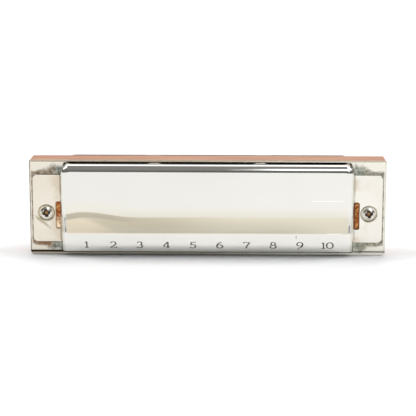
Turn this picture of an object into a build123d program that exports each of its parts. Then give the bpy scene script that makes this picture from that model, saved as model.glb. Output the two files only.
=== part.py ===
from build123d import *
import os

# A ten-hole diatonic harmonica, standing on its mouthpiece.
# X runs along the row of holes, from hole 1 (-X) to hole 10 (+X).
# -Y is the numbered, upper side; +Y is the lower side.
# Z rises from the mouthpiece (Z = 0) to the open back.  Millimetres.

# ---- driving dimensions -------------------------------------------------
LENGTH = 102.0            # comb and reed plates, end to end
DEPTH = 27.4              # reed plates, mouthpiece to back
COMB_PROUD = 0.3          # the wooden comb stands past the plates at the back
PLATE_THICK = 0.9
COMB_THICK = 7.2

HOLES = 10
PITCH = 7.62              # hole to hole
CHAMBER_WIDTH = 5.0
CHAMBER_SPARE = 0.9       # air behind the longest thing in a chamber

REED_LONGEST = 15.4       # tongue of hole 1, root line to tip end of the slot
REED_STEP = 0.8           # each next tongue is this much shorter
REED_WIDTH = 2.1
REED_THICK = 0.22
REED_LIFT = 0.08          # resting gap between a tongue and its plate
SLOT_WIDTH = 2.3
TIP_GAP = 0.15            # slot end beyond the tongue's tip
ROOT_GAP = 0.06           # line where the tongue starts to bend
PAD_LENGTH = 2.6
PAD_THICK = 0.35
BLOW_SLOT_FRONT = 4.5
DRAW_PAD_FRONT = 4.2

RIVET_RADIUS = 0.5
RIVET_HEAD_RADIUS = 0.85
RIVET_HEAD_HEIGHT = 0.35
RIVET_FOOT_HEIGHT = 0.2

NAIL_RADIUS = 0.5
NAIL_HEAD_RADIUS = 0.95
NAIL_HEAD_HEIGHT = 0.4
NAIL_LENGTH = 3.8         # under the head, through the plate into the wood
NAIL_CLEARANCE = 0.02
NAIL_FRONT_Z = 6.0
NAIL_BACK_Z = DEPTH - 2.8
NAIL_FRONT_RIBS = (-5, -2, 2, 5)    # ribs between chambers, counted from the middle
NAIL_BACK_X = (-37.5, -12.5, 12.5, 37.5)

COVER_SHEET = 0.5
COVER_HEIGHT = 5.9        # plateau above the reed plate
COVER_HALF_LENGTH = 42.0  # dome, at the plate
COVER_END_LEAN = 0.7      # how far each end wall leans in over the height
COVER_FRONT_Z = 1.5
COVER_BACK_Z = 27.1
LEDGE_HEIGHT = 3.1        # numbered ledge, at its front
LEDGE_DROP = 0.1          # the ledge falls this much towards the crease
CREASE_Z = 7.05
SHOULDER_Z = 13.6         # where the slope would meet the plateau
LEAN_START_Z = 2.9        # below this the cover's front leans in,
FRONT_LEAN = 0.57         # by this much for each millimetre down
FRONT_ROLL_RADIUS = 4.3   # where it starts to lean
FRONT_EDGE_RADIUS = 0.3   # where it turns in to the reed plate
CREASE_RADIUS = 0.4
SHOULDER_RADIUS = 8.0
BACK_CORNER_RADIUS = 2.4  # upright corners at the back
TOP_EDGE_RADIUS = 1.95
UNDERCUT = 1.0            # the dome is drawn this far below the plate, then trimmed

RIM_HEIGHT = 2.9          # back opening, plate to rim
BACK_OPENING_HALF = 39.6
FOOT_X = 15.0             # the two feet that hold the rim off the plate
FOOT_WIDTH = 2.6
FOOT_FLARE = 1.8

FLANGE_END_X = 50.0
FLANGE_FRONT_Z = 3.95
FLANGE_BACK_Z = 23.6
FLANGE_CORNER = 1.3
FLANGE_EDGE = 0.15
VENT_INNER_X = 41.75
VENT_WIDTH = 1.8
VENT_FRONT_Z = 7.75
VENT_LENGTH = 8.0

SCREW_X = 46.2
SCREW_Z = 12.35
SCREW_RADIUS = 0.8
SCREW_HOLE_RADIUS = 0.9
SCREW_HEAD_RADIUS = 1.9
SCREW_HEAD_HEIGHT = 1.0
SCREW_HEAD_CROWN = 0.35
RECESS_SPAN = 2.3
RECESS_ARM = 1.0
RECESS_ROUND = 0.3
RECESS_DEPTH = 0.65
RECESS_TURN = -10.0
DIMPLE_TOP_RADIUS = 2.5
DIMPLE_SEAT_RADIUS = 2.05
DIMPLE_SEAT = -0.15       # height of the seat above the plate's face
DIMPLE_UNDER = -0.6
DIMPLE_RIM_RADIUS = 2.85
DISH_RADIUS = 3.9         # shallow dish pressed round each screw
DISH_DEPTH = 0.1
NUT_ACROSS_FLATS = 3.2
NUT_HEIGHT = 1.3
SCREW_END = 0.3           # thread showing past the nut
CONE_CLEARANCE = 0.04

BODY_CORNER = 0.6         # back corners of comb and plates, seen from the numbered side
MOUTH_CORNER = 1.15       # their front corners, rounded for the player's lips
CHAMBER_CORNER = 0.6
MOUTH_EDGE = 0.4          # rounded lips of the mouth holes
PLATE_EDGE = 0.2
BEAD_WIDTH = 1.0          # rounded bead along a plate's front edge
BEAD_ROUND = 0.28
GROOVE_WIDTH = 0.3        # fine groove behind the bead
GROOVE_DEPTH = 0.3
PAST = 1.0                # how far a cutting tool runs past a surface
CLOSE = 0.01              # places nearer than this count as the same

PLATE_INNER = COMB_THICK / 2
PLATE_OUTER = PLATE_INNER + PLATE_THICK
HOLE_X = [PITCH * (number - (HOLES - 1) / 2) for number in range(HOLES)]


def slot_length(number):
    """Length of the reed slot of a hole, root line to tip end."""
    return REED_LONGEST - REED_STEP * number


def chamber_depth(number):
    """The blow reed and its root fill the chamber, with a little air behind."""
    return BLOW_SLOT_FRONT + slot_length(number) + PAD_LENGTH + CHAMBER_SPARE


def block(x_range, y_range, z_range):
    """Box between the given limits."""
    size = [high - low for low, high in (x_range, y_range, z_range)]
    middle = [(high + low) / 2 for low, high in (x_range, y_range, z_range)]
    return Pos(*middle) * Box(*size)


def across(x, z):
    """Plane at (x, z) whose normal is +Y, so that local heights run along +Y."""
    return Plane(origin=(x, 0, z), x_dir=(1, 0, 0), z_dir=(0, 1, 0))


def turned(profile, x, z):
    """Solid of revolution about the +Y line through (x, z), from (radius, y) points."""
    plane = across(x, z)
    outline = [plane.from_local_coords(Vector(radius, 0, y)) for radius, y in profile]
    return revolve(make_face(Polyline(*outline, close=True)), Axis((x, 0, z), (0, 1, 0)))


def round_bar(radius, x, z, y_range):
    """Cylinder along Y."""
    low, high = y_range
    return turned([(0, low), (radius, low), (radius, high), (0, high)], x, z)


def other_side(part):
    """The same part on the opposite face: half a turn about Z."""
    return Rot(0, 0, 180) * part


# ---- comb ---------------------------------------------------------------
def nail_places():
    front = [(rib * PITCH, NAIL_FRONT_Z) for rib in NAIL_FRONT_RIBS]
    back = [(x, NAIL_BACK_Z) for x in NAIL_BACK_X]
    return front + back


def rounded_corners(slab):
    """The slab with its corners rounded, as seen from the numbered side."""
    slab = fillet(slab.edges().filter_by(Axis.Y).group_by(Axis.Z)[-1], BODY_CORNER)
    return fillet(slab.edges().filter_by(Axis.Y).group_by(Axis.Z)[0], MOUTH_CORNER)


def make_comb():
    half = LENGTH / 2
    comb = rounded_corners(block((-half, half), (-PLATE_INNER, PLATE_INNER), (0, DEPTH + COMB_PROUD)))
    for number, x in enumerate(HOLE_X):
        side = CHAMBER_WIDTH / 2
        chamber = block((x - side, x + side), (-COMB_THICK, COMB_THICK), (-PAST, chamber_depth(number)))
        chamber = fillet(chamber.edges().filter_by(Axis.Y).group_by(Axis.Z)[-1], CHAMBER_CORNER)
        comb -= chamber
    lips = comb.edges().filter_by(Axis.Y).group_by(Axis.Z)[0]
    comb = fillet([edge for edge in lips if abs(edge.center().X) < SCREW_X], MOUTH_EDGE)
    for x in (-SCREW_X, SCREW_X):
        comb -= round_bar(SCREW_HOLE_RADIUS, x, SCREW_Z, (-COMB_THICK, COMB_THICK))
    nail_tip = PLATE_OUTER - NAIL_LENGTH - NAIL_CLEARANCE
    for x, z in nail_places():
        pilot = round_bar(NAIL_RADIUS + NAIL_CLEARANCE, x, z, (nail_tip, COMB_THICK))
        comb -= pilot
        comb -= mirror(pilot, Plane.XZ)
    return comb


# ---- reeds --------------------------------------------------------------
# Every reed is drawn for a plate on the +Y side, lying on the face at `level`
# and standing off it in the direction `outward` (+1 or -1 along Y).  `tip_way`
# is the direction along Z from root to tip.  Blow reeds go inside the chambers
# under the upper plate; draw reeds go outside the lower plate.
DRAW_ROOT = DRAW_PAD_FRONT + PAD_LENGTH


def blow_root(number):
    return BLOW_SLOT_FRONT + slot_length(number)


def span(start, end):
    return (min(start, end), max(start, end))


def make_tongue(x, root, tip_way, length, level, outward):
    half = REED_WIDTH / 2
    along = span(root + tip_way * ROOT_GAP, root + tip_way * (length - TIP_GAP))
    rise = span(level + outward * REED_LIFT, level + outward * (REED_LIFT + REED_THICK))
    return block((x - half, x + half), rise, along)


def make_root(x, root, tip_way, level, outward):
    half = REED_WIDTH / 2
    along = span(root, root - tip_way * PAD_LENGTH)
    pad = block((x - half, x + half), span(level, level + outward * PAD_THICK), along)
    return pad - round_bar(RIVET_RADIUS, x, root - tip_way * PAD_LENGTH / 2, (-COMB_THICK, COMB_THICK))


def make_rivet(x, z, foot_y, head_y):
    """Rivet with a domed head at head_y and a flat foot at foot_y."""
    way = 1 if head_y > foot_y else -1
    foot = foot_y - way * RIVET_FOOT_HEIGHT
    profile = [
        (0, foot),
        (RIVET_HEAD_RADIUS * 0.8, foot),
        (RIVET_HEAD_RADIUS * 0.9, foot_y),
        (RIVET_RADIUS, foot_y),
        (RIVET_RADIUS, head_y),
        (RIVET_HEAD_RADIUS, head_y),
        (RIVET_HEAD_RADIUS * 0.85, head_y + way * RIVET_HEAD_HEIGHT * 0.6),
        (RIVET_HEAD_RADIUS * 0.45, head_y + way * RIVET_HEAD_HEIGHT),
        (0, head_y + way * RIVET_HEAD_HEIGHT),
    ]
    return turned(profile, x, z)


def make_nail(x, z):
    tip = PLATE_OUTER - NAIL_LENGTH
    profile = [
        (0, tip),
        (NAIL_RADIUS * 0.3, tip),
        (NAIL_RADIUS, tip + 2 * NAIL_RADIUS),
        (NAIL_RADIUS, PLATE_OUTER),
        (NAIL_HEAD_RADIUS, PLATE_OUTER),
        (NAIL_HEAD_RADIUS * 0.85, PLATE_OUTER + NAIL_HEAD_HEIGHT * 0.6),
        (NAIL_HEAD_RADIUS * 0.4, PLATE_OUTER + NAIL_HEAD_HEIGHT),
        (0, PLATE_OUTER + NAIL_HEAD_HEIGHT),
    ]
    return turned(profile, x, z)


# ---- reed plates --------------------------------------------------------
def make_plate(slots, rivets):
    """Plate on the +Y side. slots are (x, z_low, z_high); rivets are (x, z)."""
    half = LENGTH / 2
    plate = rounded_corners(block((-half, half), (PLATE_INNER, PLATE_OUTER), (0, DEPTH)))
    groove_z = (BEAD_WIDTH, BEAD_WIDTH + GROOVE_WIDTH)
    plate -= block((-LENGTH, LENGTH), (PLATE_OUTER - GROOVE_DEPTH, DEPTH), groove_z)
    face = plate.faces().filter_by(Axis.Y).group_by(Axis.Y)[-1].sort_by(Axis.Z)[-1]
    plate = fillet(face.edges(), PLATE_EDGE)
    bead = plate.faces().filter_by(Axis.Y).group_by(Axis.Y)[-1].sort_by(Axis.Z)[0]
    plate = fillet(bead.edges(), BEAD_ROUND)
    for x, low, high in slots:
        side = SLOT_WIDTH / 2
        plate -= block((x - side, x + side), (0, COMB_THICK), (low, high))
    for x, z in rivets:
        plate -= round_bar(RIVET_RADIUS, x, z, (0, COMB_THICK))
    for x, z in nail_places():
        plate -= round_bar(NAIL_RADIUS + NAIL_CLEARANCE, x, z, (0, COMB_THICK))
    cone_floor = DIMPLE_UNDER - CONE_CLEARANCE
    for x in (-SCREW_X, SCREW_X):
        plate -= round_bar(SCREW_HOLE_RADIUS, x, SCREW_Z, (0, COMB_THICK))
        seat = [
            (0, PLATE_OUTER + cone_floor),
            (DIMPLE_TOP_RADIUS + CONE_CLEARANCE, PLATE_OUTER + cone_floor),
            (DIMPLE_RIM_RADIUS - COVER_SHEET / 3 + CONE_CLEARANCE, PLATE_OUTER),
            (DIMPLE_RIM_RADIUS - COVER_SHEET / 3 + CONE_CLEARANCE, COMB_THICK),
            (0, COMB_THICK),
        ]
        plate -= turned(seat, x, SCREW_Z)
    return plate


# ---- covers -------------------------------------------------------------
def dome_section(inset):
    """Section of the dome in the YZ plane, shrunk by `inset`, with its front drawn too long."""
    low = PLATE_OUTER - UNDERCUT
    ledge = PLATE_OUTER + LEDGE_HEIGHT
    top = PLATE_OUTER + COVER_HEIGHT
    foot = (ledge - FRONT_LEAN * (LEAN_START_Z + UNDERCUT), -UNDERCUT)
    skin = FilletPolyline(
        foot,
        (ledge, LEAN_START_Z),
        (ledge - LEDGE_DROP, CREASE_Z),
        (top, SHOULDER_Z),
        (top, COVER_BACK_Z),
        radius=[FRONT_ROLL_RADIUS, CREASE_RADIUS, SHOULDER_RADIUS],
    )
    back = Polyline((top, COVER_BACK_Z), (low, COVER_BACK_Z), (low, -UNDERCUT), foot)
    face = make_face(skin.edges() + back.edges())
    if inset:
        face = offset(face, -inset)
    return Plane.YZ * face


def rounded_edges(dome, reach, lean):
    """The edge that runs round the back of the plateau and down both end walls."""
    top = dome.bounding_box().max.Y
    low = dome.bounding_box().min.Y
    plateau_back = COVER_BACK_Z - 2 * BACK_CORNER_RADIUS

    def on_end_wall(point):
        return abs(abs(point.X) + lean * (point.Y - PLATE_OUTER) - reach) < CLOSE

    chosen = []
    for edge in dome.edges():
        middle = edge.position_at(0.5)
        upright = edge.bounding_box().size.Z < COVER_SHEET and middle.Z > plateau_back
        outline = low + CLOSE < middle.Y and middle.Z > CLOSE and not upright
        ends = [edge.position_at(0), middle, edge.position_at(1)]
        if outline and all(on_end_wall(point) for point in ends):
            chosen.append(edge)
        elif middle.Y > top - CLOSE and middle.Z > plateau_back:
            chosen.append(edge)
    return chosen


def make_dome(inset):
    """Solid dome with leaning ends, rounded back corners and a rounded top edge."""
    lean = COVER_END_LEAN / COVER_HEIGHT
    reach = COVER_HALF_LENGTH - inset * (1 + lean**2) ** 0.5
    wide = reach + lean * 2 * UNDERCUT
    narrow = reach - lean * (COVER_HEIGHT + UNDERCUT)
    low = PLATE_OUTER - 2 * UNDERCUT
    high = PLATE_OUTER + COVER_HEIGHT + UNDERCUT
    outline = Polyline((-wide, low), (wide, low), (narrow, high), (-narrow, high), close=True)
    ends = extrude(make_face(outline), COVER_BACK_Z + PAST)
    body = extrude(dome_section(inset), wide + PAST, both=True)
    dome = body & ends
    back_z = COVER_BACK_Z - inset
    corners = [
        edge
        for edge in dome.edges()
        if abs(edge.center().Z - back_z) < CLOSE and edge.bounding_box().size.Y > COVER_HEIGHT / 2
    ]
    dome = fillet(corners, BACK_CORNER_RADIUS - inset)
    dome = fillet(rounded_edges(dome, reach, lean), TOP_EDGE_RADIUS - inset)
    dome -= block((-LENGTH, LENGTH), (0, COMB_THICK * 2), (-DEPTH, COVER_FRONT_Z + inset))
    if inset:
        return dome
    front = dome.faces().filter_by(Axis.Z).sort_by(Axis.Z)[0]
    turned_in = [edge for edge in front.edges() if edge.center().Y > PLATE_OUTER]
    return fillet(turned_in, FRONT_EDGE_RADIUS)


def back_openings():
    """Three openings under the rim. The rounded corners flare the feet between them."""
    edges = [-BACK_OPENING_HALF, -FOOT_X, FOOT_X, BACK_OPENING_HALF]
    half_foot = FOOT_WIDTH / 2
    cutters = []
    for start, end in zip(edges[:-1], edges[1:]):
        low = start + (half_foot if start > -BACK_OPENING_HALF else 0)
        high = end - (half_foot if end < BACK_OPENING_HALF else 0)
        deep = (DEPTH - BACK_CORNER_RADIUS, DEPTH + PAST)
        cutter = block((low, high), (PLATE_OUTER - PAST, PLATE_OUTER + RIM_HEIGHT), deep)
        upper = cutter.edges().filter_by(Axis.Z).group_by(Axis.Y)[-1]
        cutters.append(fillet(upper, FOOT_FLARE))
    return cutters


def make_flange(side):
    """Flat screw flange at one end (side is -1 or +1), with its screw dimple."""
    start = side * (COVER_HALF_LENGTH - COVER_SHEET)
    x_range = span(start, side * FLANGE_END_X)
    face = PLATE_OUTER + COVER_SHEET
    flange = block(x_range, (PLATE_OUTER, face), (FLANGE_FRONT_Z, FLANGE_BACK_Z))
    outer_corners = flange.edges().filter_by(Axis.Y).sort_by(Axis.X)
    outer_corners = outer_corners[-2:] if side > 0 else outer_corners[:2]
    flange = fillet(outer_corners, FLANGE_CORNER)
    rim = flange.faces().sort_by(Axis.Y)[-1].edges()
    rim = [edge for edge in rim if abs(edge.center().X - start) > FLANGE_EDGE]
    flange = fillet(rim, FLANGE_EDGE)
    x = side * SCREW_X
    ball_radius = (DISH_RADIUS**2 + DISH_DEPTH**2) / (2 * DISH_DEPTH)
    flange -= Pos(x, face - DISH_DEPTH + ball_radius, SCREW_Z) * Sphere(ball_radius)
    dish_floor = face - DISH_DEPTH
    flange -= round_bar(DIMPLE_RIM_RADIUS - FLANGE_EDGE, x, SCREW_Z, (0, PLATE_OUTER + PAST))
    cup = [
        (SCREW_HOLE_RADIUS, PLATE_OUTER + DIMPLE_SEAT),
        (DIMPLE_SEAT_RADIUS, PLATE_OUTER + DIMPLE_SEAT),
        (DIMPLE_TOP_RADIUS, dish_floor),
        (DIMPLE_RIM_RADIUS, dish_floor),
        (DIMPLE_RIM_RADIUS, PLATE_OUTER),
        (DIMPLE_RIM_RADIUS - COVER_SHEET / 3, PLATE_OUTER),
        (DIMPLE_TOP_RADIUS, PLATE_OUTER + DIMPLE_UNDER),
        (SCREW_HOLE_RADIUS, PLATE_OUTER + DIMPLE_UNDER),
    ]
    return flange + turned(cup, x, SCREW_Z)


def make_cover():
    """Pressed cover on the +Y side."""
    shell = make_dome(0) - make_dome(COVER_SHEET)
    half = LENGTH / 2
    shell -= block((-half, half), (0, PLATE_OUTER), (0, DEPTH))
    for cutter in back_openings():
        shell -= cutter
    for side in (-1, 1):
        shell += make_flange(side)
        vent_x = span(side * VENT_INNER_X, side * (VENT_INNER_X + VENT_WIDTH))
        vent_z = (VENT_FRONT_Z, VENT_FRONT_Z + VENT_LENGTH)
        vent = block(vent_x, (PLATE_OUTER - PAST, PLATE_OUTER + 2 * COVER_SHEET), vent_z)
        shell -= fillet(vent.edges().filter_by(Axis.Y), VENT_WIDTH * 0.35)
    return shell


# ---- cover screws and nuts ----------------------------------------------
def make_cover_screw(x):
    """Cross-recess screw: head on the -Y side, thread end past the nut on +Y."""
    seat = PLATE_OUTER + DIMPLE_SEAT
    head = -seat - SCREW_HEAD_HEIGHT
    profile = [
        (0, head),
        (SCREW_HEAD_RADIUS * 0.6, head + SCREW_HEAD_CROWN * 0.25),
        (SCREW_HEAD_RADIUS * 0.9, head + SCREW_HEAD_CROWN),
        (SCREW_HEAD_RADIUS, head + 2 * SCREW_HEAD_CROWN),
        (SCREW_HEAD_RADIUS, -seat),
        (SCREW_RADIUS, -seat),
        (SCREW_RADIUS, seat + NUT_HEIGHT + SCREW_END / 2),
        (SCREW_RADIUS * 0.8, seat + NUT_HEIGHT + SCREW_END),
        (0, seat + NUT_HEIGHT + SCREW_END),
    ]
    screw = turned(profile, x, SCREW_Z)
    deep = 2 * RECESS_DEPTH
    recess = Box(RECESS_SPAN, deep, RECESS_ARM) + Box(RECESS_ARM, deep, RECESS_SPAN)
    recess = fillet(recess.edges().filter_by(Axis.Y), RECESS_ROUND)
    return screw - Pos(x, head, SCREW_Z) * Rot(0, RECESS_TURN, 0) * recess


def make_cover_nut(x):
    seat = PLATE_OUTER + DIMPLE_SEAT
    plane = Plane(origin=(x, seat, SCREW_Z), x_dir=(1, 0, 0), z_dir=(0, 1, 0))
    hexagon = RegularPolygon(NUT_ACROSS_FLATS / 2, 6, major_radius=False)
    nut = extrude(plane * hexagon, NUT_HEIGHT)
    return nut - round_bar(SCREW_RADIUS, x, SCREW_Z, (0, DEPTH))


# ---- build and write ----------------------------------------------------
def build_parts():
    numbers = range(HOLES)
    blow_slots = []
    draw_slots = []
    blow_rivet_z = []
    draw_rivet_z = []
    parts = {"comb": make_comb()}
    for number in numbers:
        length = slot_length(number)
        x = HOLE_X[number]
        blow, draw = blow_root(number), DRAW_ROOT
        blow_slots.append((-x, blow - length, blow))
        draw_slots.append((x, draw, draw + length))
        blow_rivet_z.append(blow + PAD_LENGTH / 2)
        draw_rivet_z.append(draw - PAD_LENGTH / 2)
        parts[f"blow_reed_{number + 1}"] = make_tongue(x, blow, -1, length, -PLATE_INNER, 1)
        parts[f"draw_reed_{number + 1}"] = make_tongue(x, draw, 1, length, PLATE_OUTER, 1)

    mirrored_x = [-x for x in HOLE_X]
    parts["upper_reed_plate"] = other_side(make_plate(blow_slots, list(zip(mirrored_x, blow_rivet_z))))
    parts["lower_reed_plate"] = make_plate(draw_slots, list(zip(HOLE_X, draw_rivet_z)))

    parts["blow_reed_roots"] = Compound(
        children=[make_root(HOLE_X[n], blow_root(n), -1, -PLATE_INNER, 1) for n in numbers]
    )
    parts["draw_reed_roots"] = Compound(
        children=[make_root(HOLE_X[n], DRAW_ROOT, 1, PLATE_OUTER, 1) for n in numbers]
    )
    parts["blow_reed_rivets"] = Compound(
        children=[
            make_rivet(HOLE_X[n], blow_rivet_z[n], PAD_THICK - PLATE_INNER, -PLATE_OUTER) for n in numbers
        ]
    )
    parts["draw_reed_rivets"] = Compound(
        children=[
            make_rivet(HOLE_X[n], draw_rivet_z[n], PLATE_INNER, PLATE_OUTER + PAD_THICK) for n in numbers
        ]
    )

    nails = [make_nail(x, z) for x, z in nail_places()]
    parts["lower_plate_nails"] = Compound(children=nails)
    parts["upper_plate_nails"] = Compound(children=[mirror(nail, Plane.XZ) for nail in nails])

    cover = make_cover()
    parts["lower_cover"] = cover
    parts["upper_cover"] = other_side(cover)
    parts["cover_screws"] = Compound(children=[make_cover_screw(x) for x in (-SCREW_X, SCREW_X)])
    parts["cover_nuts"] = Compound(children=[make_cover_nut(x) for x in (-SCREW_X, SCREW_X)])
    return parts


os.makedirs("parts", exist_ok=True)
for name, part in build_parts().items():
    export_step(part, f"parts/{name}.step")
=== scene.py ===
import math

import bmesh
import bpy
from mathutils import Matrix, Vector
from mathutils.bvhtree import BVHTree


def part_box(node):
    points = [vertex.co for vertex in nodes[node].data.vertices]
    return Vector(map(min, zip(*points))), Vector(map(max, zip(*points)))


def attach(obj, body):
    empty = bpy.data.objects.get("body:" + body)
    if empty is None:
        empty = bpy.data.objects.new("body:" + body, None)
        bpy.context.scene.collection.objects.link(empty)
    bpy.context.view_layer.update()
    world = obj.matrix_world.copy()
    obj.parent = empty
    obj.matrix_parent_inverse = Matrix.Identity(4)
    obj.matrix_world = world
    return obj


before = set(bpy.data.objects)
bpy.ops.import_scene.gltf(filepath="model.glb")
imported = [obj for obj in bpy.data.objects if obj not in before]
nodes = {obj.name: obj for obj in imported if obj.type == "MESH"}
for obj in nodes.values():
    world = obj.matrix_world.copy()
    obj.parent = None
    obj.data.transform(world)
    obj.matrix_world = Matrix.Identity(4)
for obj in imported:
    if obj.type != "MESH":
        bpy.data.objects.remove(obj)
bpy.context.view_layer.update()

BODY = "harmonica"
MM = 0.001
HOLES = 10

# ---- camera -------------------------------------------------------------------------
CAMERA_DISTANCE = 0.4189
CAMERA_ELEVATION = math.radians(11.43)
CAMERA_AZIMUTH = math.radians(1.19)
CAMERA_LENS = 125.2
ORBIT_CENTRE = Vector((0.0, 0.0, 0.0141))
AIM = Vector((0.0001, 0.0, 0.01294))


def make_camera():
    """The camera on its orbit round the object, aimed a little below the middle."""
    data = bpy.data.cameras.new("camera")
    data.sensor_width = 36.0
    data.lens = CAMERA_LENS
    data.clip_start = 0.01
    data.clip_end = 60.0
    camera = bpy.data.objects.new("camera", data)
    bpy.context.scene.collection.objects.link(camera)
    level = math.cos(CAMERA_ELEVATION) * CAMERA_DISTANCE
    camera.location = ORBIT_CENTRE + Vector((
        math.sin(CAMERA_AZIMUTH) * level,
        -math.cos(CAMERA_AZIMUTH) * level,
        math.sin(CAMERA_ELEVATION) * CAMERA_DISTANCE,
    ))
    camera.rotation_euler = (AIM - camera.location).to_track_quat("-Z", "Y").to_euler()
    bpy.context.scene.camera = camera


# ---- node helpers -------------------------------------------------------------------
class Nodes:
    """Adds and links the shader nodes of one tree."""

    def __init__(self, tree):
        self.tree = tree

    def add(self, kind, inputs=None, **settings):
        node = self.tree.nodes.new("ShaderNode" + kind)
        for key, value in settings.items():
            setattr(node, key, value)
        for key, value in (inputs or {}).items():
            self.put(node.inputs[key], value)
        return node

    def put(self, socket, value):
        if isinstance(value, bpy.types.NodeSocket):
            self.tree.links.new(value, socket)
        elif socket.type == "RGBA":
            socket.default_value = (*value, 1.0)
        else:
            socket.default_value = value

    def ramp(self, value, low, high, start=0.0, end=1.0):
        """value mapped from low..high to start..end, smoothly, and held outside."""
        inputs = {"Value": value, "From Min": low, "From Max": high, "To Min": start, "To Max": end}
        return self.add("MapRange", inputs, interpolation_type="SMOOTHSTEP").outputs["Result"]

    def math(self, operation, first, second=0.0):
        return self.add("Math", {0: first, 1: second}, operation=operation).outputs["Value"]

    def times(self, *values):
        product = values[0]
        for value in values[1:]:
            product = self.math("MULTIPLY", product, value)
        return product

    def absolute(self, value):
        return self.math("ABSOLUTE", value)

    def inverse(self, value):
        return self.math("SUBTRACT", 1.0, value)

    def largest(self, *values):
        top = values[0]
        for value in values[1:]:
            top = self.math("MAXIMUM", top, value)
        return top

    def within(self, value, low, high, soft):
        """1 where value lies between low and high, falling to 0 over soft outside them."""
        rise = self.ramp(value, low - soft, low)
        fall = self.ramp(value, high, high + soft, 1.0, 0.0)
        return self.math("MULTIPLY", rise, fall)

    def mix(self, factor, first, second):
        """The colour first turning into second as factor goes from 0 to 1."""
        node = self.add("Mix", data_type="RGBA")
        # The node's float and vector sockets come between these colour sockets.
        self.put(node.inputs[0], factor)
        self.put(node.inputs[6], first)
        self.put(node.inputs[7], second)
        return node.outputs[2]


class Finish(Nodes):
    """The nodes of one surface material, read from object coordinates in metres."""

    def __init__(self, name):
        self.material = bpy.data.materials.new(name)
        self.material.use_nodes = True
        super().__init__(self.material.node_tree)
        self.shader = self.tree.nodes["Principled BSDF"]
        self.coords = self.add("TexCoord").outputs["Object"]
        split = self.add("SeparateXYZ", {"Vector": self.coords})
        self.x, self.y, self.z = split.outputs

    def stretch(self, scale):
        return self.add("Mapping", {"Vector": self.coords, "Scale": scale}).outputs["Vector"]

    def noise(self, scale, detail=4.0, roughness=0.5, vector=None, distortion=0.0):
        inputs = {"Vector": vector or self.coords, "Scale": scale, "Detail": detail}
        inputs.update({"Roughness": roughness, "Distortion": distortion})
        return self.add("TexNoise", inputs).outputs["Fac"]

    def wobble(self, amount, scale, detail, roughness=0.5):
        """Noise centred on zero, amount wide in all."""
        centred = self.math("SUBTRACT", self.noise(scale, detail, roughness), 0.5)
        return self.math("MULTIPLY", centred, amount)

    def by_side(self, left, right):
        """left at the hole 1 side and right at the hole 10 side, blended in the middle."""
        return self.ramp(self.x, -SIDE_BLEND, SIDE_BLEND, left, right)

    def bump(self, height, distance):
        inputs = {"Height": height, "Strength": 1.0, "Distance": distance}
        return self.add("Bump", inputs).outputs["Normal"]

    def done(self, **inputs):
        for key, value in inputs.items():
            self.put(self.shader.inputs[key.replace("_", " ")], value)
        return self.material


# ---- where the finishes change ------------------------------------------------------
# Heights are over the mouthpiece, lengths along the holes from the middle.
SIDE_BLEND = 10.0 * MM        # half the stretch where the hole 1 side turns into the other
SLOPE_LOW = 7.1 * MM
SLOPE_HIGH = 11.9 * MM
DOME_FACE = 6.0 * MM          # anything further out than this belongs to the dome
DOME_END = 42.0 * MM
END_BEND = 40.4 * MM          # where the dome starts to turn down at its ends
FLANGE_LOW = 3.95 * MM
FLANGE_HIGH = 23.6 * MM
VENT_END = 43.55 * MM
VENT_HALF_WIDTH = 0.75 * MM
VENT_LOW = 7.75 * MM
VENT_HIGH = 15.75 * MM
SCREW_X = 46.2 * MM
SCREW_Z = 12.35 * MM
GROOVE_Z = 1.15 * MM
FOOT_LOW = 13.8 * MM          # the feet that hold the covers' back rims
FOOT_HIGH = 16.2 * MM
GAP_LOW = 25.4 * MM           # the strip of plate seen in the gap along the covers' back
GAP_HIGH = 26.95 * MM

# The slope's band, partly yellowing and partly a painted reflection of the shaded floor, climbs towards
# hole 1 and drops again at the very end.
CLIMB_FOOT = -20 * MM
CLIMB_TOP = -35 * MM
CLIMB_END = -41 * MM
CLIMB_HEIGHT = 1.6 * MM
CLIMB_DROP = 0.8 * MM
STREAK_LOW = 10.7 * MM
STREAK_HIGH = 11.85 * MM

# Fine scratches on the upper cover: start, end and height. The tick stands over figure 9.
SCRATCHES = (
    (30.0 * MM, 38.0 * MM, 17.1 * MM),
    (34.5 * MM, 38.2 * MM, 7.0 * MM),
)
SCRATCH_HALF_WIDTH = 0.06 * MM
TICK_X = 25.4 * MM
TICK_LOW = 5.7 * MM
TICK_HIGH = 6.5 * MM

# The painted dark reflection of the dish edge is a narrow stretch of offsets from the hole 1 screw,
# measured along this slant.
DISH_EDGE_ACROSS = 0.64
DISH_EDGE_UP = 0.77
DISH_EDGE_LOW = -2.9 * MM
DISH_EDGE_HIGH = -2.5 * MM


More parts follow.
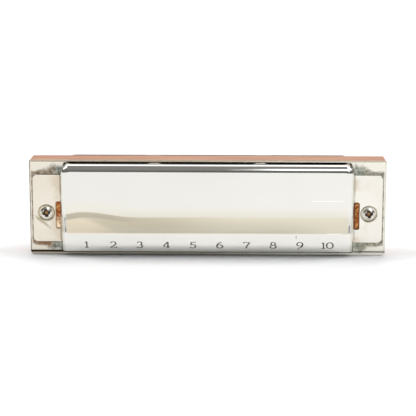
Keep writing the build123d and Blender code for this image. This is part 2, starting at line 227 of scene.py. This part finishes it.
# ---- materials ----------------------------------------------------------------------
def stained_dome(n, across, on_dome):
    """Silver sheet, partly yellowed on the slope and partly painted there with the reflection of the
    shaded floor, under a painted dark reflected streak, with a painted soft warm reflection fading
    above.
    """
    on_face = n.times(on_dome, n.ramp(across, END_BEND - 0.7 * MM, END_BEND, 1.0, 0.0))
    climb = n.ramp(n.x, CLIMB_TOP, CLIMB_FOOT, CLIMB_HEIGHT, 0.0)
    climb = n.math("SUBTRACT", climb, n.ramp(n.x, CLIMB_END, CLIMB_TOP, CLIMB_DROP, 0.0))
    level = n.math("ADD", n.math("SUBTRACT", n.z, climb), n.wobble(0.5 * MM, 90.0, 2.0))
    above_crease = n.ramp(n.z, SLOPE_LOW - 0.5 * MM, SLOPE_LOW)

    silver = n.mix(n.ramp(n.noise(25.0, 2.0), 0.35, 0.65), (0.775, 0.76, 0.72), (0.80, 0.787, 0.75))
    # A painted soft warm reflection of the shaded floor fades out above the slope.
    warm_reflection_fade = n.times(on_face, above_crease, n.within(level, SLOPE_LOW, SLOPE_HIGH, 5.5 * MM))
    color = n.mix(n.times(warm_reflection_fade, 0.55), silver, (0.79, 0.74, 0.62))

    # The slope is partly yellowed and partly painted with the reflection of the shaded floor in front,
    # darker towards hole 1 and lighter near the crease.
    yellowing_and_reflection = n.mix(n.ramp(n.x, -19 * MM, 11 * MM), (0.645, 0.585, 0.45), (0.79, 0.735, 0.60))
    yellowing_and_reflection = n.mix(n.ramp(n.z, SLOPE_LOW, 10.2 * MM, 0.5, 0.0), yellowing_and_reflection, (0.83, 0.79, 0.66))
    # Near hole 1 the slope's band is lighter below a slanting line.
    slant = n.math("ADD", level, n.math("MULTIPLY", n.x, 0.42))
    lighter_below_slant = n.times(
        n.ramp(slant, -5.4 * MM, -3.2 * MM, 1.0, 0.0),
        n.ramp(level, 9.9 * MM, 10.6 * MM, 1.0, 0.0),
    )
    yellowing_and_reflection = n.mix(lighter_below_slant, yellowing_and_reflection, (0.81, 0.715, 0.565))
    below_top = n.ramp(level, SLOPE_HIGH, SLOPE_HIGH + 0.5 * MM, 1.0, 0.0)
    color = n.mix(n.times(on_face, above_crease, below_top), color, yellowing_and_reflection)

    # A painted dark reflection lies as a streak near the top of the slope on the hole 1 side.
    streak = n.times(
        on_face,
        n.within(level, STREAK_LOW, STREAK_HIGH, 0.4 * MM),
        n.ramp(n.x, -14 * MM, -30 * MM),
        n.ramp(n.noise(60.0, 3.0), 0.2, 0.7, 0.6, 1.0),
    )
    return n.mix(n.times(streak, 0.8), color, (0.46, 0.41, 0.335))


def worn_dome(n, color, across, on_dome):
    """The dome's colour with painted shade on its end bends, painted dark reflections where the slope
    meets them, fine bright scratches and a tick.
    """
    # Painted shade runs down the dome's end bends.
    bend = n.within(across, END_BEND + 0.6 * MM, END_BEND + 0.9 * MM, 0.4 * MM)
    color = n.mix(n.times(on_dome, bend, 0.5), color, (0.60, 0.60, 0.51))

    # Painted dark reflections lie where the slope meets the end bends, higher up on the hole 1 side.
    bend_reflection_top = n.by_side(12.2 * MM, 10.0 * MM)
    dark_bend_reflections = n.times(
        on_dome,
        n.within(across, END_BEND - 0.1 * MM, END_BEND + 0.1 * MM, 0.12 * MM),
        n.ramp(n.math("SUBTRACT", n.z, bend_reflection_top), -0.6 * MM, 0.0, 1.0, 0.0),
        n.ramp(n.z, SLOPE_LOW, SLOPE_LOW + 0.5 * MM),
        n.ramp(n.noise(420.0, 3.0), 0.3, 0.5, 0.2, 0.85),
    )
    color = n.mix(dark_bend_reflections, color, (0.085, 0.085, 0.095))

    on_upper = n.ramp(n.y, -DOME_FACE, 0.3 * MM - DOME_FACE, 1.0, 0.0)
    half = SCRATCH_HALF_WIDTH
    for start, end, height in SCRATCHES:
        scratch = n.times(
            on_upper,
            n.within(n.x, start, end, 0.8 * MM),
            n.within(n.z, height - half, height + half, half),
        )
        color = n.mix(scratch, color, (0.97, 0.965, 0.94))
    tick = n.times(
        on_upper,
        n.within(n.x, TICK_X - half, TICK_X + half, 2 * half),
        n.within(n.z, TICK_LOW, TICK_HIGH, 0.15 * MM),
    )
    return n.mix(n.times(tick, 0.75), color, (0.23, 0.20, 0.17))


def soiled_flange(n, across):
    """The flanges: yellower at hole 1, soiled towards the dome, with a painted dark reflection of a
    dish edge past one screw and a painted shadow line at the dome's foot.
    """
    tone = n.mix(n.by_side(0.0, 1.0), (0.77, 0.71, 0.615), (0.83, 0.80, 0.735))
    soil = n.times(
        n.ramp(n.noise(170.0, 4.0), 0.4, 0.62),
        n.ramp(across, DOME_END, DOME_END + 5 * MM, 0.7, 0.08),
    )
    tone = n.mix(soil, tone, (0.56, 0.46, 0.33))

    off_x = n.math("ADD", n.x, SCREW_X)
    off_z = n.math("SUBTRACT", n.z, SCREW_Z)
    offset = n.math("ADD", n.times(off_x, DISH_EDGE_ACROSS), n.times(off_z, DISH_EDGE_UP))
    offset = n.math("ADD", offset, n.wobble(1.2 * MM, 220.0, 2.0))
    # A painted dark reflection of the dish edge runs beside the hole 1 screw.
    dish_edge_reflection = n.times(
        n.within(offset, DISH_EDGE_LOW, DISH_EDGE_HIGH, 0.4 * MM),
        n.within(off_x, -2.4 * MM, 0.6 * MM, 1.2 * MM),
        n.ramp(n.noise(300.0, 3.0), 0.3, 0.6, 0.3, 0.8),
    )
    tone = n.mix(dish_edge_reflection, tone, (0.40, 0.35, 0.23))

    # A painted shadow line runs where the flange meets the dome, darker on the hole 1 side.
    shaded_hollow = n.times(
        n.ramp(across, DOME_END + 0.1 * MM, DOME_END + 0.4 * MM, 1.0, 0.0),
        n.ramp(n.noise(260.0, 3.0), 0.3, 0.55, 0.35, 1.0),
        n.by_side(0.9, 0.45),
    )
    return n.mix(shaded_hollow, tone, (0.15, 0.125, 0.10))


def polished_cover():
    """Polished sheet: stained, scratched and painted with reflections and shade on the dome, soiled and
    painted with shade and a reflection on the flanges, and painted shade along the lower cover's back
    edge.
    """
    n = Finish("polished_cover")
    across = n.absolute(n.x)
    on_dome = n.ramp(n.absolute(n.y), DOME_FACE - 0.3 * MM, DOME_FACE)
    color = stained_dome(n, across, on_dome)
    color = worn_dome(n, color, across, on_dome)
    color = n.mix(n.inverse(on_dome), color, soiled_flange(n, across))
    # Painted shade darkens the lower cover along its back edge, except over its two feet.
    back_edge_shade = n.times(
        n.ramp(n.y, 5.0 * MM, 6.0 * MM),
        n.ramp(n.z, 26.6 * MM, GAP_HIGH, 0.0, 0.85),
        n.inverse(n.within(across, 14.3 * MM, 18.2 * MM, 0.8 * MM)),
    )
    color = n.mix(back_edge_shade, color, (0.20, 0.17, 0.13))

    wear = n.noise(900.0, 5.0, vector=n.stretch((0.15, 1.0, 1.0)))
    rough = n.ramp(wear, 0.35, 0.75, 0.05, 0.10)
    waves = n.noise(38.0, 1.0, vector=n.stretch((0.6, 1.0, 1.0)))
    return n.done(Base_Color=color, Metallic=1.0, Roughness=rough, Normal=n.bump(waves, 0.10 * MM))


def creeping_tarnish(n, across):
    """1 under the flanges, where the plate is tarnished, fading raggedly past their edges as painted
    reflection and shade, furthest next to the dome.
    """
    _, cover_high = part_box("upper_cover")
    flange_end = cover_high[0]
    above = n.math("SUBTRACT", n.z, FLANGE_HIGH)
    below = n.math("SUBTRACT", FLANGE_LOW, n.z)
    reach = n.ramp(across, flange_end - 1 * MM, DOME_END + 1 * MM, 1.0 * MM, 2.7 * MM)
    outward = n.math("DIVIDE", n.largest(above, below), reach)
    sideways = n.math("DIVIDE", n.math("SUBTRACT", across, flange_end), 0.42 * MM)
    ragged = n.wobble(1.8, 420.0, 5.0, 0.6)
    return n.ramp(n.math("ADD", n.largest(outward, sideways), ragged), 0.55, 1.35, 1.0, 0.0)


def stained_plate(n, across, cloud, tarnished_and_reflected):
    """Warm nickel with green-grey and brown patches by the flanges, tarnished under them and painted
    reflection and shade past them, a painted dark reflection just below the hole 1 flange and darker
    spots.
    """
    to_right = n.by_side(0.0, 1.0)
    tone = n.mix(n.ramp(cloud, 0.3, 0.7), (0.80, 0.755, 0.655), (0.765, 0.71, 0.615))
    tone = n.mix(n.times(to_right, 0.7), tone, (0.84, 0.815, 0.725))

    hue = n.ramp(n.math("ADD", across, n.math("MULTIPLY", cloud, 9 * MM)), 47 * MM, 50.5 * MM)
    patch_color = n.mix(hue, (0.09, 0.125, 0.115), (0.19, 0.13, 0.075))
    patch_color = n.mix(n.times(to_right, 0.6), patch_color, (0.17, 0.19, 0.13))
    density = n.times(tarnished_and_reflected, n.ramp(n.noise(1100.0, 4.0), 0.3, 0.7, 0.55, 1.0))
    color = n.mix(density, tone, patch_color)

    # A painted dark reflection lies just below the flange beside hole 1.
    run = n.times(
        n.within(n.z, FLANGE_LOW - 0.95 * MM, FLANGE_LOW + 0.1 * MM, 0.35 * MM),
        n.within(n.x, -49.4 * MM, -45.5 * MM, 0.8 * MM),
        n.ramp(n.noise(500.0, 4.0), 0.3, 0.55, 0.35, 0.95),
    )
    color = n.mix(run, color, (0.235, 0.14, 0.07))
    spots = n.ramp(n.noise(260.0, 6.0, 0.65), 0.64, 0.72, 0.0, 0.45)
    return n.mix(spots, color, (0.36, 0.33, 0.25))


def dark_edges(n, color, across):
    """The plate's colour darkened along its ends, with painted shade on the front bead and in the
    groove behind it, all heavier towards hole 1.
    """
    _, plate_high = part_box("upper_reed_plate")
    to_right = n.by_side(0.0, 1.0)
    rim = n.times(
        n.ramp(across, plate_high[0] - 0.5 * MM, plate_high[0] - 0.15 * MM, 0.0, 0.95),
        n.inverse(n.times(to_right, 0.6)),
        n.ramp(n.noise(300.0, 2.0), 0.3, 0.6, 0.6, 1.0),
    )
    color = n.mix(rim, color, (0.15, 0.115, 0.085))
    # Painted shade on the front bead, fading out towards hole 10.
    bead = n.times(
        n.ramp(n.z, GROOVE_Z - 0.1 * MM, GROOVE_Z, 1.0, 0.0),
        n.ramp(n.x, -10 * MM, 34 * MM, 0.75, 0.0),
    )
    color = n.mix(bead, color, (0.42, 0.37, 0.29))
    # Painted shade in the groove behind the bead, lighter towards hole 10.
    groove = n.within(n.z, GROOVE_Z - 0.2 * MM, GROOVE_Z + 0.2 * MM, 0.12 * MM)
    return n.mix(n.times(groove, n.inverse(n.times(to_right, 0.35))), color, (0.05, 0.035, 0.022))


def vent_brass(n, across, in_vent, mottle):
    """Corroded brass seen through the vents, shaded at the vents' own edges."""
    brown = n.mix(n.ramp(mottle, 0.42, 0.58), (0.26, 0.065, 0.018), (0.60, 0.30, 0.11))
    # It has stayed lighter towards the mouthpiece on the hole 1 side.
    pale = n.times(n.ramp(n.z, 8.5 * MM, 12.5 * MM, 0.95, 0.0), n.inverse(n.by_side(0.0, 1.0)))
    pale = n.times(pale, n.ramp(mottle, 0.36, 0.48, 0.2, 1.0))
    color = n.mix(pale, brown, (0.95, 0.76, 0.52))
    middle_x = VENT_END - VENT_HALF_WIDTH
    middle_z = (VENT_LOW + VENT_HIGH) / 2
    off_x = n.absolute(n.math("SUBTRACT", across, middle_x))
    off_z = n.absolute(n.math("SUBTRACT", n.z, middle_z))
    shade = n.largest(
        n.ramp(off_x, 0.2 * MM, VENT_HALF_WIDTH),
        n.ramp(off_z, 3.4 * MM, 3.9 * MM),
    )
    return n.mix(n.times(in_vent, shade, n.by_side(0.6, 0.95)), color, (0.12, 0.045, 0.025))


def plated_plate():
    """Tarnished nickel plate, bare aged brass under the covers, and painted dark along their back edge
    as shade with some tarnishing.
    """
    n = Finish("plated_plate")
    across = n.absolute(n.x)
    cloud = n.noise(45.0, 3.0)
    tarnished_and_reflected = creeping_tarnish(n, across)
    color = stained_plate(n, across, cloud, tarnished_and_reflected)
    color = dark_edges(n, color, across)

    under_dome = n.times(
        n.ramp(across, DOME_END - 0.4 * MM, DOME_END - 0.3 * MM, 1.0, 0.0),
        n.ramp(n.z, 2.2 * MM, 2.3 * MM),
        n.ramp(n.z, 24.6 * MM, GAP_LOW, 1.0, 0.0),
    )
    aged = n.mix(n.ramp(n.noise(240.0, 5.0), 0.35, 0.65), (0.50, 0.31, 0.12), (0.66, 0.46, 0.20))
    color = n.mix(under_dome, color, aged)

    in_vent = n.times(
        n.within(across, DOME_END - 0.4 * MM, VENT_END + 0.2 * MM, 0.1 * MM),
        n.within(n.z, VENT_LOW - 0.2 * MM, VENT_HIGH + 0.2 * MM, 0.1 * MM),
    )
    mottle = n.noise(900.0, 5.0, 0.6)
    color = n.mix(in_vent, color, vent_brass(n, across, in_vent, mottle))

    # The strip of plate seen in the gap along the covers' back is painted dark, as shade with some
    # tarnishing, except over the feet.
    gap = n.times(
        n.ramp(across, DOME_END - 1.2 * MM, DOME_END - 0.6 * MM, 1.0, 0.0),
        n.within(n.z, GAP_LOW, GAP_HIGH, 0.15 * MM),
        n.inverse(n.within(across, FOOT_LOW, FOOT_HIGH, 0.5 * MM)),
    )
    gap_shade_and_patina = n.mix(n.ramp(mottle, 0.4, 0.6), (0.045, 0.03, 0.015), (0.13, 0.10, 0.05))
    color = n.mix(gap, color, gap_shade_and_patina)

    rough = n.ramp(cloud, 0.3, 0.8, 0.10, 0.16)
    rough = n.math("ADD", rough, n.times(n.largest(tarnished_and_reflected, under_dome, in_vent, gap), 0.16))
    grain = n.bump(n.noise(1500.0, 3.0), 0.004 * MM)
    return n.done(Base_Color=color, Metallic=1.0, Roughness=rough, Normal=grain)


def comb_wood():
    """Reddish pear wood with its grain along the comb, under a satin lacquer."""
    n = Finish("comb_wood")
    grain = n.noise(110.0, 8.0, 0.62, vector=n.stretch((0.06, 1.0, 1.0)), distortion=0.6)
    fibre = n.noise(900.0, 4.0, 0.6, vector=n.stretch((0.05, 1.0, 1.0)))
    base = n.mix(n.ramp(grain, 0.3, 0.7), (0.40, 0.16, 0.088), (0.67, 0.36, 0.215))
    color = n.mix(n.ramp(fibre, 0.35, 0.65, 0.0, 0.45), base, (0.24, 0.085, 0.045))
    # Handling has bleached the wood where it stands past the plates.
    _, plate_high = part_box("upper_reed_plate")
    _, comb_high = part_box("comb")
    worn = n.times(
        n.ramp(n.absolute(n.y), comb_high[1] - 0.08 * MM, comb_high[1] - 0.03 * MM),
        n.ramp(n.z, plate_high[2] - 0.05 * MM, plate_high[2]),
    )
    color = n.mix(worn, color, (0.93, 0.72, 0.54))
    rough = n.ramp(fibre, 0.3, 0.7, 0.35, 0.5)
    return n.done(Base_Color=color, Roughness=rough, Normal=n.bump(fibre, 0.02 * MM))


def brass(name, light, dark, scratch_scale):
    """Ground brass with fine lengthwise scratches and a little oxide."""
    n = Finish(name)
    scratches = n.noise(scratch_scale, 3.0, 0.6, vector=n.stretch((1.0, 1.0, 0.06)))
    color = n.mix(n.ramp(n.noise(220.0, 4.0), 0.4, 0.75), light, dark)
    rough = n.ramp(scratches, 0.3, 0.7, 0.18, 0.36)
    return n.done(Base_Color=color, Metallic=1.0, Roughness=rough, Normal=n.bump(scratches, 0.004 * MM))


def screw_steel():
    """Zinc-plated steel, bright on the crown, rusty brown in the recess with painted shade darkening it
    away from its middle.
    """
    n = Finish("screw_steel")
    screws_low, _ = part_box("cover_screws")
    recess_reach = 1.35 * MM
    # The crown is the screws' furthest point out; the recess colour and its painted shade start a
    # little below it.
    recess_top = -screws_low[1] - 0.42 * MM
    off_x = n.math("SUBTRACT", n.absolute(n.x), SCREW_X)
    off_z = n.math("SUBTRACT", n.z, SCREW_Z)
    radius = n.math("SQRT", n.math("ADD", n.times(off_x, off_x), n.times(off_z, off_z)))
    sunk = n.ramp(n.absolute(n.y), recess_top - 0.06 * MM, recess_top, 1.0, 0.0)
    shaded_hollow = n.times(sunk, n.ramp(radius, recess_reach, recess_reach + 0.05 * MM, 1.0, 0.0))
    grime = n.noise(700.0, 4.0)
    steel = n.mix(n.ramp(grime, 0.45, 0.7), (0.74, 0.71, 0.64), (0.50, 0.45, 0.35))
    # Rusty orange at the recess's middle, turning to painted shade near black further out.
    rusted_and_shaded = n.mix(n.ramp(radius, 0.25 * MM, 0.6 * MM), (0.42, 0.22, 0.07), (0.07, 0.045, 0.03))
    color = n.mix(shaded_hollow, steel, rusted_and_shaded)
    metal = n.ramp(shaded_hollow, 0.0, 1.0, 1.0, 0.3)
    rough = n.math("ADD", n.ramp(grime, 0.3, 0.7, 0.16, 0.30), n.times(shaded_hollow, 0.3))
    return n.done(Base_Color=color, Metallic=metal, Roughness=rough)


def numeral_ink():
    """Dark etched numerals, worn a little thin."""
    n = Finish("numeral_ink")
    worn = n.noise(2500.0, 3.0)
    color = n.mix(n.ramp(worn, 0.4, 0.75), (0.085, 0.07, 0.055), (0.17, 0.145, 0.115))
    rough = n.ramp(worn, 0.3, 0.7, 0.4, 0.6)
    return n.done(Base_Color=color, Metallic=0.3, Roughness=rough)


def dress_nodes():
    """Gives every CAD node its finish."""
    cover = polished_cover()
    plate = plated_plate()
    reed = brass("reed_brass", (0.80, 0.60, 0.30), (0.62, 0.43, 0.20), 1800.0)
    rivet = brass("rivet_brass", (0.72, 0.52, 0.26), (0.50, 0.33, 0.15), 900.0)
    steel = screw_steel()
    finishes = {
        "comb": comb_wood(),
        "upper_cover": cover,
        "lower_cover": cover,
        "upper_reed_plate": plate,
        "lower_reed_plate": plate,
        "blow_reed_roots": reed,
        "draw_reed_roots": reed,
        "blow_reed_rivets": rivet,
        "draw_reed_rivets": rivet,
        "upper_plate_nails": rivet,
        "lower_plate_nails": rivet,
        "cover_screws": steel,
        "cover_nuts": steel,
    }
    for number in range(1, HOLES + 1):
        finishes[f"blow_reed_{number}"] = reed
        finishes[f"draw_reed_{number}"] = reed
    for node, material in finishes.items():
        mesh = nodes[node].data
        mesh.materials.clear()
        mesh.materials.append(material)


# ---- numerals -----------------------------------------------------------------------
NUMERAL_HEIGHT = 1.85 * MM
NUMERAL_STRETCH = 1.85        # the figures are wide
NUMERAL_MIDDLE_Z = 3.65 * MM
NUMERAL_SHIFT = -0.2 * MM     # the numerals sit a little towards hole 1
TWO_FIGURE_STEP = 1.8 * MM    # between the figures of 10
FIGURE_MIDDLE = (0.32, 0.5)
PEN_THICK = 0.41 * MM
PEN_THIN = 0.16 * MM
INK_LIFT = 0.012 * MM
INK_DEPTH = 0.03 * MM
ARC_STEP = 9.0                # degrees between the points of an arc
LINE_STEP = 0.12              # between the points of a line, in figure heights
NEAREST = 1e-4                # points of a figure closer than this count as one
CLOSED = 1e-6                 # a stroke whose ends lie closer than this is a ring
RAY_START = -0.03             # in front of the upper cover

# Each numeral is drawn in a box one unit high, as pen strokes. A stroke is a list of
# parts: ("line", points) or ("arc", centre, radii, first angle, last angle), in degrees.
FIGURES = {
    "0": [[("arc", (0.33, 0.5), (0.27, 0.47), 90, 450)]],
    "1": [
        [("line", [(0.33, 0.97), (0.33, 0.04)])],
        [("line", [(0.33, 0.95), (0.17, 0.84)])],
        [("line", [(0.15, 0.03), (0.51, 0.03)])],
    ],
    "2": [
        [("arc", (0.31, 0.71), (0.22, 0.26), 165, -35), ("line", [(0.36, 0.36), (0.07, 0.05)])],
        [("line", [(0.06, 0.05), (0.58, 0.05), (0.61, 0.20)])],
    ],
    "3": [
        [("arc", (0.29, 0.74), (0.19, 0.23), 160, -80)],
        [("arc", (0.28, 0.28), (0.25, 0.26), 80, -155)],
    ],
    "4": [
        [("line", [(0.42, 0.97), (0.04, 0.29), (0.62, 0.29)])],
        [("line", [(0.44, 0.97), (0.44, 0.04)])],
        [("line", [(0.31, 0.03), (0.58, 0.03)])],
    ],
    "5": [
        [("line", [(0.53, 0.98), (0.50, 0.93), (0.17, 0.93), (0.13, 0.54)])],
        [("arc", (0.28, 0.30), (0.25, 0.28), 130, -155)],
    ],
    "6": [
        [("arc", (0.56, 0.36), (0.48, 0.61), 98, 178)],
        [("arc", (0.32, 0.30), (0.24, 0.28), 90, 450)],
    ],
    "7": [
        [("line", [(0.08, 0.80), (0.09, 0.93), (0.59, 0.93), (0.40, 0.50), (0.27, 0.0)])],
    ],
    "8": [
        [("arc", (0.32, 0.75), (0.18, 0.22), 90, 450)],
        [("arc", (0.32, 0.28), (0.24, 0.26), 90, 450)],
    ],
    "9": [
        [("arc", (0.08, 0.64), (0.48, 0.61), -82, -2)],
        [("arc", (0.32, 0.70), (0.24, 0.28), -90, 270)],
    ],
}


def stroke_points(parts):
    """The stroke's centreline in unit coordinates, close enough together to bend over the cover."""
    points = []
    for part in parts:
        if part[0] == "arc":
            _, (cx, cy), (rx, ry), first, last = part
            count = max(4, round(abs(last - first) / ARC_STEP))
            for step in range(count + 1):
                angle = math.radians(first + (last - first) * step / count)
                points.append((cx + rx * math.cos(angle), cy + ry * math.sin(angle)))
        else:
            for start, end in zip(part[1][:-1], part[1][1:]):
                count = max(1, round(math.dist(start, end) / LINE_STEP))
                for step in range(count + 1):
                    share = step / count
                    points.append(tuple(a + (b - a) * share for a, b in zip(start, end)))
    kept = points[:1]
    for point in points[1:]:
        if math.dist(point, kept[-1]) > NEAREST:
            kept.append(point)
    return kept


def pen_edges(points):
    """Left and right edges of a stroke drawn with a pen that is broad across and thin down."""
    left, right = [], []
    closed = math.dist(points[0], points[-1]) < CLOSED
    for index, point in enumerate(points):
        before = points[max(index - 1, 0)]
        after = points[min(index + 1, len(points) - 1)]
        if closed and index in (0, len(points) - 1):
            before, after = points[-2], points[1]
        run, rise = after[0] - before[0], after[1] - before[1]
        length = math.hypot(run, rise)
        half = (PEN_THIN + (PEN_THICK - PEN_THIN) * abs(rise) / length) / 2
        side = (-rise / length * half, run / length * half)
        left.append((point[0] + side[0], point[1] + side[1]))
        right.append((point[0] - side[0], point[1] - side[1]))
    return left, right


def on_cover(surface, x, z, lift):
    """The point of the cover's front at x and z, lifted off it or sunk below it."""
    hit, normal, _, _ = surface.ray_cast(Vector((x, RAY_START, z)), Vector((0, 1, 0)))
    return hit + normal * (lift if normal.y < 0 else -lift)


def lay_stroke(mesh, surface, centreline, lift):
    """A closed strip of ink along one stroke, bent over the cover and sunk a little into it."""
    rows = []
    for left, right in zip(*pen_edges(centreline)):
        corners = ((left, lift), (right, lift), (right, -INK_DEPTH), (left, -INK_DEPTH))
        rows.append([mesh.verts.new(on_cover(surface, x, z, height)) for (x, z), height in corners])
    for first, second in zip(rows[:-1], rows[1:]):
        for corner in range(4):
            after = (corner + 1) % 4
            mesh.faces.new((first[corner], first[after], second[after], second[corner]))
    mesh.faces.new(rows[0])
    mesh.faces.new(rows[-1][::-1])


def make_numeral(text, middle_x, surface, material):
    """One number, laid on the cover's curved front as a thin closed skin of ink."""
    mesh = bmesh.new()
    layer = 0
    for place, letter in enumerate(text):
        shift = middle_x + (place - (len(text) - 1) / 2) * TWO_FIGURE_STEP
        for parts in FIGURES[letter]:
            # Each stroke lies a little over the last, so that crossing strokes don't flicker.
            layer += 1
            centreline = []
            for x, y in stroke_points(parts):
                across = (x - FIGURE_MIDDLE[0]) * NUMERAL_HEIGHT * NUMERAL_STRETCH
                height = (y - FIGURE_MIDDLE[1]) * NUMERAL_HEIGHT
                centreline.append((shift + across, NUMERAL_MIDDLE_Z + height))
            lay_stroke(mesh, surface, centreline, INK_LIFT * (1 + layer / 10))
    bmesh.ops.recalc_face_normals(mesh, faces=mesh.faces)
    data = bpy.data.meshes.new(f"numeral_{text}")
    mesh.to_mesh(data)
    mesh.free()
    data.materials.append(material)
    numeral = bpy.data.objects.new(f"numeral_{text}", data)
    bpy.context.scene.collection.objects.link(numeral)
    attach(numeral, BODY)


def make_numerals():
    """The numbers 1 to 10 over the blow reeds, on the upper cover."""
    cover = nodes["upper_cover"].data
    corners = [vertex.co for vertex in cover.vertices]
    surface = BVHTree.FromPolygons(corners, [face.vertices[:] for face in cover.polygons])
    ink = numeral_ink()
    for number in range(1, HOLES + 1):
        low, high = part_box(f"blow_reed_{number}")
        make_numeral(str(number), (low[0] + high[0]) / 2 + NUMERAL_SHIFT, surface, ink)


# ---- floor and light ----------------------------------------------------------------
FLOOR_SIZE = 12.0


def make_floor():
    """A plain pale floor at the mouthpiece's height."""
    n = Finish("floor_white")
    color = n.mix(n.noise(6.0, 2.0), (0.893, 0.898, 0.912), (0.913, 0.918, 0.932))
    material = n.done(Base_Color=color, Roughness=0.6)
    mesh = bpy.data.meshes.new("floor")
    half = FLOOR_SIZE / 2
    corners = [(-half, -half, 0), (half, -half, 0), (half, half, 0), (-half, half, 0)]
    mesh.from_pydata(corners, [], [(0, 1, 2, 3)])
    mesh.materials.append(material)
    floor = bpy.data.objects.new("floor", mesh)
    bpy.context.scene.collection.objects.link(floor)


# The studio is all in the world, so the floor is evenly lit: a dim room behind the camera,
# a brighter one behind the object, two long boxes overhead, a card high behind it and a
# window in front on the right. The pairs are slopes: a direction's x or y over its z for
# the boxes, and its x or z over its y for the card and the window.
ROOM_HORIZON = 0.13
ROOM_HIGH = 0.27
BACK_ROOM = 0.35
SIDE_BOXES = 6.1
SIDE_BOX_ACROSS = (0.40, 1.5)
SIDE_BOX_BACK = (-0.16, 0.28)
BACK_CARD = 1.7
CARD_UP = (0.55, 1.9)
CARD_HALF_WIDTH = 0.5
CARD_SOFT = 0.1
WINDOW = 2.3
WINDOW_UP = (0.62, 1.6)
WINDOW_ACROSS = (0.06, 1.1)
LEAST = 0.001                 # keeps the divisions finite


def make_world():
    """The room, the boxes, the card and the window, as one light strength over directions."""
    world = bpy.data.worlds.new("studio")
    bpy.context.scene.world = world
    world.use_nodes = True
    n = Nodes(world.node_tree)
    background = world.node_tree.nodes["Background"]
    split = n.add("SeparateXYZ", {"Vector": n.add("TexCoord").outputs["Generated"]})
    x, y, z = split.outputs
    up = n.math("MAXIMUM", z, LEAST)
    front = n.math("MAXIMUM", n.math("MULTIPLY", y, -1.0), LEAST)
    back = n.math("MAXIMUM", y, LEAST)

    room = n.ramp(z, 0.0, 0.8, ROOM_HORIZON, ROOM_HIGH)
    room = n.ramp(y, -0.05, 0.35, room, BACK_ROOM)
    sides = n.times(
        n.within(n.absolute(n.math("DIVIDE", x, up)), *SIDE_BOX_ACROSS, 0.08),
        n.within(n.math("DIVIDE", y, up), *SIDE_BOX_BACK, 0.06),
        n.ramp(z, 0.2, 0.3),
    )
    aside = n.absolute(n.math("DIVIDE", x, back))
    card = n.times(
        n.within(n.math("DIVIDE", z, back), *CARD_UP, 0.15),
        n.ramp(aside, CARD_HALF_WIDTH, CARD_HALF_WIDTH + CARD_SOFT, 1.0, 0.0),
        n.ramp(y, 0.2, 0.3),
    )
    window = n.times(
        n.within(n.math("DIVIDE", z, front), *WINDOW_UP, 0.06),
        n.within(n.math("DIVIDE", x, front), *WINDOW_ACROSS, 0.07),
        n.ramp(y, -0.2, -0.3),
    )
    strength = room
    for part, brightness in ((sides, SIDE_BOXES), (card, BACK_CARD), (window, WINDOW)):
        strength = n.math("ADD", strength, n.times(part, brightness))
    n.put(background.inputs["Color"], n.mix(window, (1.0, 0.99, 0.97), (0.88, 0.95, 1.0)))
    n.put(background.inputs["Strength"], strength)
    world.cycles.sampling_method = "MANUAL"
    world.cycles.sample_map_resolution = 1024


make_camera()
dress_nodes()
make_numerals()
make_floor()
make_world()
bpy.context.scene.view_settings.view_transform = "Standard"
